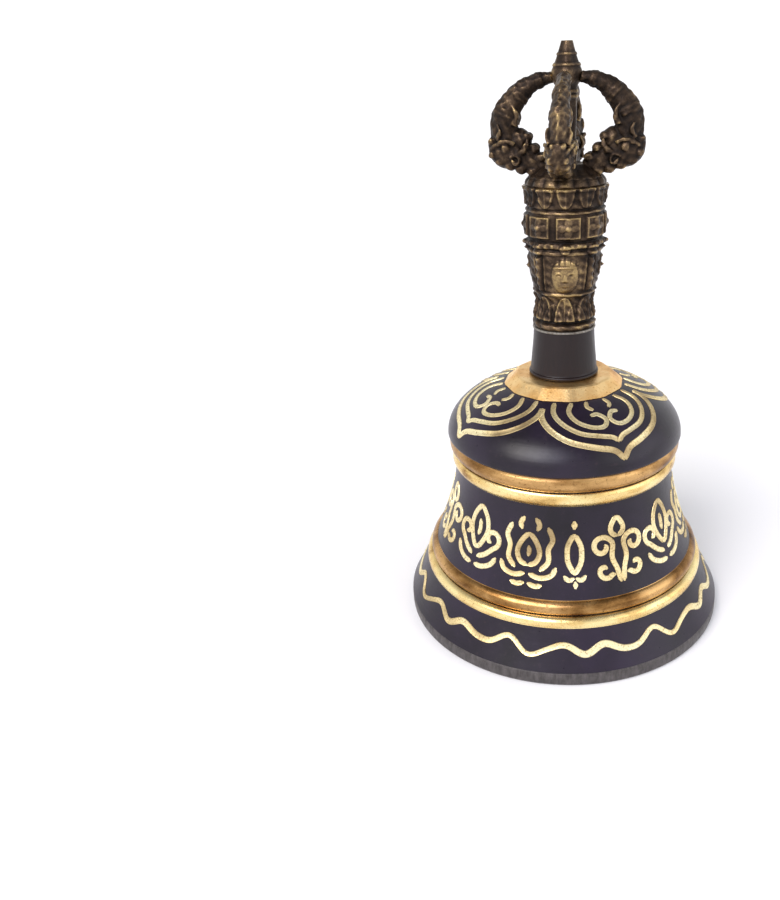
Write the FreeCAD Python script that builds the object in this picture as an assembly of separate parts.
"""Tibetan hand bell standing on its lip: bell, ferrule, cast handle with a closed vajra, and clapper.

Millimetres, +Z up along the bell's axis, origin at the middle of the lip plane, front towards -Y.
"""

import FreeCAD
import Part

import math
import os

# ---- bell ---------------------------------------------------------------------------------------
lip_radius = 44.0
lip_edge_height = 3.8        # plain upright edge under the flare
lip_chamfer = 0.6
lip_wall = 4.4
waist_radius = 29.3          # narrowest, just under the upper band
waist_height = 43.2          # height of that narrowest ring
waist_wall = 3.2
flare_power = 1.55           # how suddenly the waist opens towards the lip
shoulder_radius = 31.2
shoulder_height = 52.0       # where the dome starts
dome_rise = 15.1
crown_wall = 3.72
crown_land_inside = 9.0      # flat seat for the leather washer, under the crown

lower_band = (13.7, 16.6, 19.9)   # heights: foot of the thin ring, groove, top of the wide ring
upper_band = (43.2, 47.0, 51.0)
ring_bulge = 0.75

# ---- crown seat, ferrule ------------------------------------------------------------------------
seat_radius = 15.8           # over the corners of the seat's foot
seat_top_radius = 12.7       # over the corners of its top
seat_thickness = 2.8
seat_facets = 12
ferrule_length = 12.88
ferrule_foot_radius = 8.7
ferrule_top_radius = 7.75
ferrule_flare = 0.3          # extra radius of the small foot on the ferrule
ferrule_foot_height = 1.6

# ---- handle -------------------------------------------------------------------------------------
grip_length = 34.4
grip_rim_radius = 8.2
grip_neck_radius = 7.0
grip_knob_radius = 9.5
grip_head_radius = 10.0
cavity_radius = 5.0
cavity_roof = 5.0            # solid brass left over the cavity
insert_length = 10.0

# ---- vajra --------------------------------------------------------------------------------------
vajra_turn = -6.5            # degrees about Z, the front prong stands a little to the left
hub_height = 4.6
hub_foot_radius = 9.6
hub_top_radius = 5.2
prong_reach = 18.6           # axis to the outside of a prong's head
prong_rise = 24.6            # top of the grip to the top of the prong's tip
prong_half_width = 3.1
prong_tip_half_width = 1.5
spike_length = 30.6          # top of the grip to the blunt tip
spike_radius = 2.7
spike_collar_radius = 3.4
spike_tip_radius = 1.3
socket_depth = 2.0

# ---- fastening ----------------------------------------------------------------------------------
bolt_radius = 2.5
thread_clearance = 0.02
bolt_hole_clearance = 0.2
leather_radius = 8.4
leather_thickness = 1.2
washer_radius = 7.4
washer_thickness = 1.0
nut_across_flats = 8.0
nut_thickness = 3.2
bolt_end_gap = 3.0           # bolt's end below the top of the insert

# ---- clapper ------------------------------------------------------------------------------------
eye_wire_radius = 1.0
eye_inner_radius = 2.0
eye_gap_under_nut = 0.8
link_wire_radius = 0.9
link_inner_radius = 3.0
link_clearance = 0.3
shank_radius = 1.6
bob_radius = 6.5
bob_height = 14.0
bob_foot = 4.4               # bob's underside over the lip plane
bob_bore_clearance = 0.03
end_washer_radius = 3.0
end_washer_thickness = 0.7
rivet_radius = 2.3
rivet_height = 1.0

# ---- worked out from the sizes above ------------------------------------------------------------
eye_radius = eye_inner_radius + eye_wire_radius
link_radius = link_inner_radius + link_wire_radius


def dome_height(radius):
    return shoulder_height + dome_rise * math.sqrt(1.0 - (radius / shoulder_radius) ** 2)


crown_height = dome_height(seat_radius)
seat_top = crown_height + seat_thickness
grip_foot = seat_top + ferrule_length
grip_top = grip_foot + grip_length
crown_inside = crown_height - crown_wall
nut_foot = crown_inside - leather_thickness - washer_thickness - nut_thickness
eye_centre = nut_foot - eye_gap_under_nut - eye_radius
eye_axis_height = eye_centre - eye_radius
link_top = eye_axis_height + eye_wire_radius + link_wire_radius + link_clearance
link_centre = link_top - link_radius
link_axis_height = link_centre - link_radius
shank_eye_top = link_axis_height + link_wire_radius + eye_wire_radius + link_clearance
shank_eye_centre = shank_eye_top - eye_radius


def vec(x, y, z):
    return FreeCAD.Vector(x, y, z)


def rz(radius, height):
    return vec(radius, 0, height)


def line(a, b):
    return Part.makeLine(a, b)


def arc(a, middle, b):
    return Part.Arc(a, middle, b).toShape()


def spline(points):
    curve = Part.BSplineCurve()
    curve.interpolate(Points=points)
    return curve.toShape()


def dome_arc(radius, rise, height, inner):
    """Quarter of an ellipse from its widest point up and in to the radius inner."""
    ellipse = Part.Ellipse(rz(radius, height), rz(0, height + rise), rz(0, height))
    return Part.ArcOfEllipse(ellipse, 0, math.acos(inner / radius)).toShape()


def revolve(edges):
    wire = Part.Wire(Part.__sortEdges__(edges))
    solid = Part.Face(wire).revolve(vec(0, 0, 0), vec(0, 0, 1), 360)
    return solid if solid.Volume > 0 else solid.reversed()


def polygon_edges(points):
    return [line(a, b) for a, b in zip(points, points[1:] + points[:1])]


def regular_polygon(corner_radius, sides, height, first_corner=0.0):
    """Wire with its corners on a circle, the first of them at an angle in degrees from +X."""
    angles = [math.radians(first_corner + 360 * i / sides) for i in range(sides)]
    corners = [vec(corner_radius * math.cos(a), corner_radius * math.sin(a), height) for a in angles]
    return Part.Wire(polygon_edges(corners))


def tube(outer, inner, foot, top):
    body = Part.makeCylinder(outer, top - foot, vec(0, 0, foot))
    return body.cut(Part.makeCylinder(inner, top - foot, vec(0, 0, foot)))


def upright_ring(mean_radius, wire_radius, height, axis):
    return Part.makeTorus(mean_radius, wire_radius, vec(0, 0, height), axis)


def turned(shape, degrees):
    copy = shape.copy()
    copy.rotate(vec(0, 0, 0), vec(0, 0, 1), degrees)
    return copy


# ---- bell ---------------------------------------------------------------------------------------
def flare_radius(height):
    """Outside radius of the plain wall between the lip's edge and the waist."""
    share = (waist_height - height) / (waist_height - lip_edge_height)
    return waist_radius + (lip_radius - waist_radius) * share**flare_power


def wall_thickness(height):
    share = (height - lip_edge_height) / (waist_height - lip_edge_height)
    return lip_wall + (waist_wall - lip_wall) * share


def flare_points(bottom, top, count, thickness):
    step = (top - bottom) / (count - 1)
    heights = [bottom + i * step for i in range(count)]
    return [rz(flare_radius(min(h, waist_height)) - thickness(h), h) for h in heights]


def ring_arc(low, high, bulge):
    """Half-round turned ring between two points of the wall."""
    along = high.sub(low)
    outward = vec(along.z, 0, -along.x).normalize()
    return arc(low, low.add(high).multiply(0.5).add(outward.multiply(bulge)), high)


def bell_shell():
    def bare(height):
        return 0.0

    lip_top = rz(lip_radius, lip_edge_height)
    low = [rz(flare_radius(h), h) for h in lower_band]
    high_foot = rz(waist_radius, upper_band[0])
    high_groove = rz(waist_radius + 0.4, upper_band[1])
    high_top = rz(shoulder_radius - 0.9, upper_band[2])
    shoulder = rz(shoulder_radius, shoulder_height)
    land = rz(seat_radius, crown_height)
    bore = bolt_radius + bolt_hole_clearance
    inside_radius = shoulder_radius - waist_wall
    inside_rise = (crown_inside - shoulder_height) / math.sqrt(
        1.0 - (crown_land_inside / inside_radius) ** 2
    )
    inner_wall = flare_points(lip_edge_height, waist_height, 6, wall_thickness)
    inner_wall.append(rz(inside_radius, shoulder_height))
    outer = [
        line(rz(lip_radius - lip_wall + lip_chamfer, 0), rz(lip_radius - lip_chamfer, 0)),
        line(rz(lip_radius - lip_chamfer, 0), rz(lip_radius, lip_chamfer)),
        line(rz(lip_radius, lip_chamfer), lip_top),
        spline(flare_points(lip_edge_height, lower_band[0], 4, bare)),
        ring_arc(low[0], low[1], ring_bulge),
        ring_arc(low[1], low[2], ring_bulge),
        spline(flare_points(lower_band[2], waist_height, 6, bare)),
        ring_arc(high_foot, high_groove, ring_bulge),
        ring_arc(high_groove, high_top, ring_bulge),
        line(high_top, shoulder),
        dome_arc(shoulder_radius, dome_rise, shoulder_height, seat_radius),
        line(land, rz(bore, crown_height)),
        line(rz(bore, crown_height), rz(bore, crown_inside)),
        line(rz(bore, crown_inside), rz(crown_land_inside, crown_inside)),
        dome_arc(inside_radius, inside_rise, shoulder_height, crown_land_inside),
        spline(inner_wall),
        line(inner_wall[0], rz(lip_radius - lip_wall, lip_chamfer)),
        line(
            rz(lip_radius - lip_wall, lip_chamfer), rz(lip_radius - lip_wall + lip_chamfer, 0)
        ),
    ]
    return revolve(outer)


def crown_seat():
    """Brass boss under the ferrule with sloping flat facets, one of them facing the front prong."""
    first = vajra_turn - 90 + 180 / seat_facets
    foot = regular_polygon(seat_radius, seat_facets, crown_height, first)
    top = regular_polygon(seat_top_radius, seat_facets, seat_top, first)
    boss = Part.makeLoft([foot, top], True, True)
    bore = bolt_radius + bolt_hole_clearance
    return boss.cut(Part.makeCylinder(bore, seat_thickness, vec(0, 0, crown_height)))


def ferrule():
    foot_radius = ferrule_foot_radius + ferrule_flare
    bore = bolt_radius + bolt_hole_clearance
    return revolve(
        polygon_edges(
            [
                rz(bore, seat_top),
                rz(foot_radius, seat_top),
                rz(foot_radius, seat_top + ferrule_foot_height / 2),
                rz(ferrule_foot_radius, seat_top + ferrule_foot_height),
                rz(ferrule_top_radius, grip_foot),
                rz(bore, grip_foot),
            ]
        )
    )


# ---- handle -------------------------------------------------------------------------------------
def handle_grip():
    def at(share):
        return grip_foot + share * grip_length

    rim_top = rz(grip_rim_radius - 0.6, at(0.07))
    belly = rz(grip_knob_radius - 0.2, at(0.46))
    knob_top = rz(grip_knob_radius - 0.2, at(0.6))
    groove = rz(grip_head_radius - 0.6, at(0.84))
    outline = [
        line(rz(cavity_radius, at(0)), rz(grip_rim_radius - 0.4, at(0))),
        arc(rz(grip_rim_radius - 0.4, at(0)), rz(grip_rim_radius, at(0.035)), rim_top),
        spline(
            [
                rim_top,
                rz(grip_neck_radius, at(0.18)),
                rz((grip_neck_radius + grip_knob_radius) / 2, at(0.30)),
                belly,
            ]
        ),
        ring_arc(belly, knob_top, 0.5),
        line(knob_top, rz(grip_knob_radius - 0.2, at(0.64))),
        line(rz(grip_knob_radius - 0.2, at(0.64)), groove),
        line(groove, rz(grip_head_radius, at(0.86))),
        line(rz(grip_head_radius, at(0.86)), rz(grip_head_radius, at(0.98))),
        line(rz(grip_head_radius, at(0.98)), rz(hub_foot_radius, at(1))),
        line(rz(hub_foot_radius, at(1)), rz(0, at(1))),
        line(rz(0, at(1)), rz(0, grip_top - cavity_roof)),
        line(rz(0, grip_top - cavity_roof), rz(cavity_radius, grip_top - cavity_roof)),
        line(rz(cavity_radius, grip_top - cavity_roof), rz(cavity_radius, at(0))),
    ]
    return revolve(outline)


def handle_insert():
    """Brass bush with the thread that the eye bolt screws into."""
    return tube(
        cavity_radius, bolt_radius + thread_clearance, grip_foot, grip_foot + insert_length
    )


def handle_filling():
    foot = grip_foot + insert_length
    return Part.makeCylinder(cavity_radius, grip_top - cavity_roof - foot, vec(0, 0, foot))


def hub_outline():
    return [
        rz(0, grip_top),
        rz(hub_foot_radius, grip_top),
        rz(hub_top_radius, grip_top + hub_height),
        rz(0, grip_top + hub_height),
    ]


def vajra_hub():
    socket = Part.makeCylinder(
        spike_radius, socket_depth, vec(0, 0, grip_top + hub_height - socket_depth)
    )
    return revolve(polygon_edges(hub_outline())).cut(socket)


def centre_prong():
    root = grip_top + hub_height - socket_depth
    collar = grip_top + prong_rise
    tip = grip_top + spike_length
    return revolve(
        polygon_edges(
            [
                rz(0, root),
                rz(spike_radius, root),
                rz(spike_radius, collar - 3.2),
                rz(spike_collar_radius, collar - 2.4),
                rz(spike_collar_radius, collar),
                rz(spike_radius - 0.3, collar + 1.2),
                rz(spike_radius - 0.7, collar + (tip - collar) * 0.55),
                rz(spike_tip_radius, tip),
                rz(0, tip),
            ]
        )
    )


def prong_side_view():
    """Outline of one prong seen from its side: root, head, and the arm curving in to the tip."""
    r, h, z0 = prong_reach, prong_rise, grip_top
    outer = [
        rz(0.50 * hub_foot_radius, z0 + 0.5),
        rz(0.60 * r, z0 + 0.06 * h),
        rz(0.90 * r, z0 + 0.17 * h),
        rz(r, z0 + 0.29 * h),
        rz(0.96 * r, z0 + 0.52 * h),
        rz(0.83 * r, z0 + 0.75 * h),
        rz(0.50 * r, z0 + 0.93 * h),
        rz(spike_collar_radius, z0 + h),
    ]
    inner = [
        rz(spike_collar_radius, z0 + 0.915 * h),
        rz(0.46 * r, z0 + 0.84 * h),
        rz(0.60 * r, z0 + 0.65 * h),
        rz(0.56 * r, z0 + 0.47 * h),
        rz(0.36 * r, z0 + 0.30 * h),
        rz(spike_radius + 0.6, z0 + 0.17 * h),
    ]
    edges = [spline(outer), line(outer[-1], inner[0]), spline(inner), line(inner[-1], outer[0])]
    return Part.Face(Part.Wire(edges))


def prong():
    """One prong pointing to +X: the side view made thick, narrowed towards the tip."""
    w = prong_half_width
    slab = prong_side_view().extrude(vec(0, 2 * w, 0))
    slab.translate(vec(0, -w, 0))
    foot, top = grip_top - 1, grip_top + prong_rise + 1
    knee = grip_top + 0.42 * prong_rise
    front = [
        vec(0, -w, foot),
        vec(0, w, foot),
        vec(0, w, knee),
        vec(0, prong_tip_half_width, top),
        vec(0, -prong_tip_half_width, top),
        vec(0, -w, knee),
    ]
    front_view = Part.Face(Part.Wire(polygon_edges(front)))
    body = slab.common(front_view.extrude(vec(prong_reach + 5, 0, 0)))
    body = body.cut(revolve(polygon_edges(hub_outline())))
    body = body.cut(centre_prong())
    return body.Solids[0]


# ---- fastening inside the bell ------------------------------------------------------------------
def leather_washer():
    return tube(
        leather_radius,
        bolt_radius + bolt_hole_clearance,
        crown_inside - leather_thickness,
        crown_inside,
    )


def crown_washer():
    foot = nut_foot + nut_thickness
    return tube(
        washer_radius, bolt_radius + bolt_hole_clearance, foot, foot + washer_thickness
    )


def crown_nut():
    outline = regular_polygon(nut_across_flats / math.sqrt(3), 6, nut_foot)
    hexagon = Part.Face(outline).extrude(vec(0, 0, nut_thickness))
    bore = Part.makeCylinder(
        bolt_radius + thread_clearance, nut_thickness, vec(0, 0, nut_foot)
    )
    return hexagon.cut(bore)


def eye_bolt():
    """Threaded rod from the handle down through the crown, bent into an eye at its foot."""
    eye_top = eye_centre + eye_radius
    end = grip_foot + insert_length - bolt_end_gap
    rod = Part.makeCylinder(bolt_radius, end - nut_foot, vec(0, 0, nut_foot))
    neck = Part.makeCone(
        eye_wire_radius * 1.2, bolt_radius, nut_foot - eye_top, vec(0, 0, eye_top)
    )
    eye = upright_ring(eye_radius, eye_wire_radius, eye_centre, vec(0, 1, 0))
    stub = Part.makeCylinder(eye_wire_radius * 1.2, eye_wire_radius, vec(0, 0, eye_top))
    stub.translate(vec(0, 0, -eye_wire_radius))
    return rod.fuse([neck, stub, eye]).removeSplitter()


# ---- clapper ------------------------------------------------------------------------------------
def link_ring():
    return upright_ring(link_radius, link_wire_radius, link_centre, vec(1, 0, 0))


def clapper_shank():
    """Rod with an eye at the top, riveted over under the bob."""
    foot = bob_foot - end_washer_thickness
    top = shank_eye_centre - eye_radius
    rod = Part.makeCylinder(shank_radius, top - foot, vec(0, 0, foot))
    eye = upright_ring(eye_radius, eye_wire_radius, shank_eye_centre, vec(0, 1, 0))
    rivet = Part.makeCone(rivet_radius * 0.6, rivet_radius, rivet_height)
    rivet.translate(vec(0, 0, foot - rivet_height))
    return rod.fuse([eye, rivet]).removeSplitter()


def clapper_bob():
    bore = shank_radius + bob_bore_clearance
    top = bob_foot + bob_height
    belly = bob_foot + 0.42 * bob_height
    outline = [
        line(rz(bore, bob_foot), rz(0.5 * bob_radius, bob_foot)),
        spline(
            [
                rz(0.5 * bob_radius, bob_foot),
                rz(0.88 * bob_radius, bob_foot + 0.16 * bob_height),
                rz(bob_radius, belly),
                rz(0.84 * bob_radius, bob_foot + 0.70 * bob_height),
                rz(0.48 * bob_radius, bob_foot + 0.92 * bob_height),
                rz(0.42 * bob_radius, top),
            ]
        ),
        line(rz(0.42 * bob_radius, top), rz(bore, top)),
        line(rz(bore, top), rz(bore, bob_foot)),
    ]
    return revolve(outline)


def clapper_end_washer():
    return tube(
        end_washer_radius,
        shank_radius + bob_bore_clearance,
        bob_foot - end_washer_thickness,
        bob_foot,
    )


def build():
    parts = {
        "bell_shell": bell_shell(),
        "crown_seat": crown_seat(),
        "ferrule": ferrule(),
        "handle_grip": handle_grip(),
        "handle_insert": handle_insert(),
        "handle_filling": handle_filling(),
        "vajra_hub": vajra_hub(),
        "centre_prong": centre_prong(),
        "leather_washer": leather_washer(),
        "crown_washer": crown_washer(),
        "crown_nut": crown_nut(),
        "eye_bolt": eye_bolt(),
        "link_ring": link_ring(),
        "clapper_shank": clapper_shank(),
        "clapper_bob": clapper_bob(),
        "clapper_end_washer": clapper_end_washer(),
    }
    one_prong = prong()
    for name, azimuth in (("right", 0), ("back", 90), ("left", 180), ("front", 270)):
        parts["prong_" + name] = turned(one_prong, azimuth + vajra_turn)
    return parts


os.makedirs("parts", exist_ok=True)
for name, shape in build().items():
    print(f"{name:20s} solids {len(shape.Solids)} valid {shape.isValid()} "
          f"volume {shape.Volume:9.1f} mm3")
    shape.exportStep(f"parts/{name}.step")
print(f"eye axis {eye_axis_height:.2f}, link axis {link_axis_height:.2f}, "
      f"crown {crown_height:.2f}, crown inside {crown_inside:.2f}, grip {grip_foot:.2f} "
      f"to {grip_top:.2f}, tip {grip_top + spike_length:.2f}")
